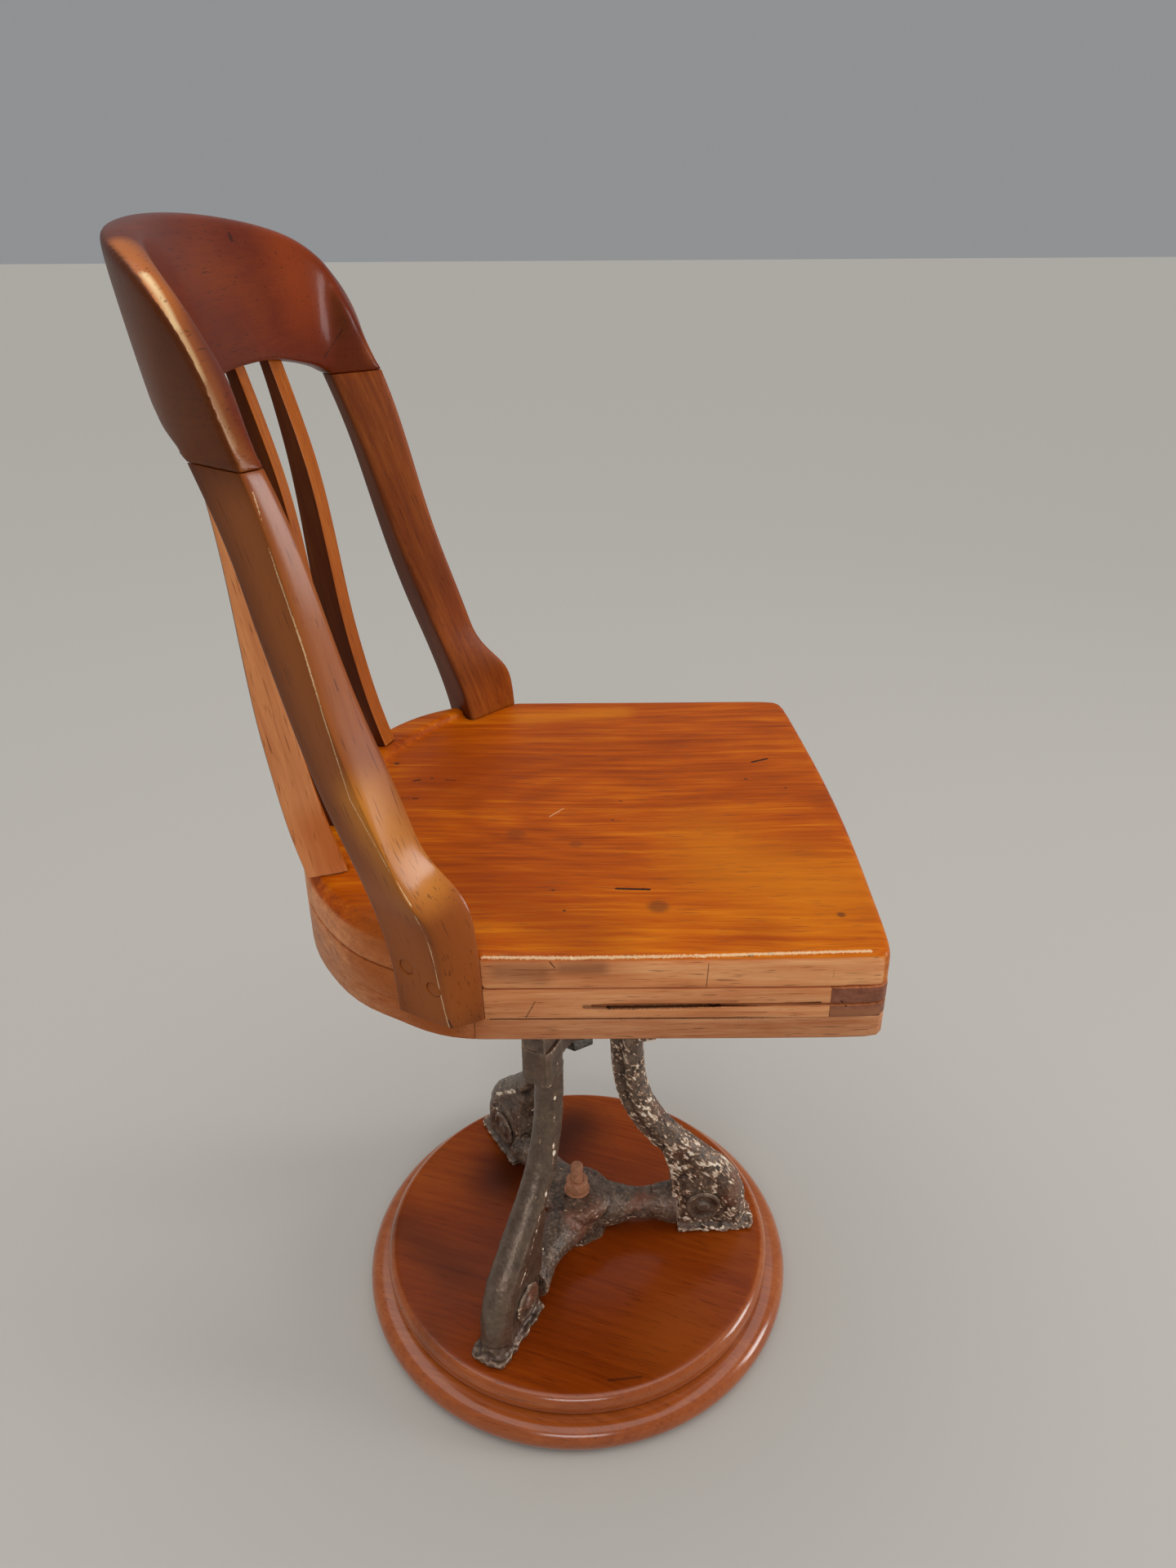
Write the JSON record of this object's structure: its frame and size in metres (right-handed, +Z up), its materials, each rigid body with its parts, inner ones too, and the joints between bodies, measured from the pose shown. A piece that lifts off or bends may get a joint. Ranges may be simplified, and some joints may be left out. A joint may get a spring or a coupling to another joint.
{
  "type": "swivel chair",
  "caption": "Wooden swivel chair with a curved slatted back, a laminated carved seat, and a cast-iron tripod on a turned round plinth.",
  "frame": {"origin": "middle of the plinth's underside, on the axis that the seat turns about", "axes": "+Z up along the swivel axis, -Y the way the sitter faces, +X the sitter's left"},
  "size_m": [0.4266, 0.4694, 0.9214],
  "materials": {
    "seat_top_wood": "satin varnish over amber hardwood",
    "seat_side_wood": "satin varnish",
    "post_wood": "gloss varnish",
    "crest_wood": "gloss varnish",
    "slat_wood": "satin varnish",
    "plinth_wood": "gloss varnish",
    "iron": "worn paint over cast iron",
    "rusty_steel": "light rust",
    "bare_steel": "bare",
    "bronze": "turned bronze"
  },
  "bodies": {
    "base": {"plinth_lower_disc": "plinth_wood", "plinth_upper_disc": "plinth_wood", "leg_front": "iron", "leg_rear_left": "iron", "leg_rear_right": "iron", "tie_spider": "iron", "tie_bolt_front": "iron", "tie_bolt_rear_left": "iron", "tie_bolt_rear_right": "iron", "tie_nut_front": "iron", "tie_nut_rear_left": "iron", "tie_nut_rear_right": "iron", "hub_stud": "rusty_steel", "hub_washer": "rusty_steel", "hub_nut": "rusty_steel", "upper_spider": "iron", "upper_spider_bolt_front": "iron", "upper_spider_bolt_rear_left": "iron", "upper_spider_bolt_rear_right": "iron", "hub_bush": "bronze", "race_lower": "bare_steel", "ball_ring": "bare_steel"},
    "seat": {"race_upper": "bare_steel", "spindle": "bare_steel", "spindle_washer": "bare_steel", "spindle_nut": "bare_steel", "seat_plate": "iron", "spindle_pin": "bare_steel", "seat_plate_screw_1": "bare_steel", "seat_plate_screw_2": "bare_steel", "seat_plate_screw_3": "bare_steel", "seat_plate_screw_4": "bare_steel", "seat_top_board": "seat_top_wood", "seat_front_rail": "seat_side_wood", "seat_side_rail_left": "seat_side_wood", "seat_side_rail_right": "seat_side_wood", "seat_core_board": "seat_side_wood", "seat_bottom_board": "seat_side_wood", "seat_bottom_rear": "seat_side_wood", "post_left": "post_wood", "post_right": "post_wood", "post_screw_left_1": "bare_steel", "post_screw_right_1": "bare_steel", "post_screw_left_2": "bare_steel", "post_screw_right_2": "bare_steel", "post_plug_left_1": "post_wood", "post_plug_right_1": "post_wood", "post_plug_left_2": "post_wood", "post_plug_right_2": "post_wood", "slat_outer_left": "slat_wood", "slat_inner_left": "slat_wood", "slat_inner_right": "slat_wood", "slat_outer_right": "slat_wood", "crest_rail": "crest_wood", "crest_dowel_left": "slat_wood", "crest_dowel_right": "slat_wood"}
  },
  "joints": [
    {"name": "seat_swivel", "type": "hinge", "parent": "base", "child": "seat", "pos_m": [0, 0, 0.35], "axis": [0, 0, 1], "continuous": true}
  ]
}
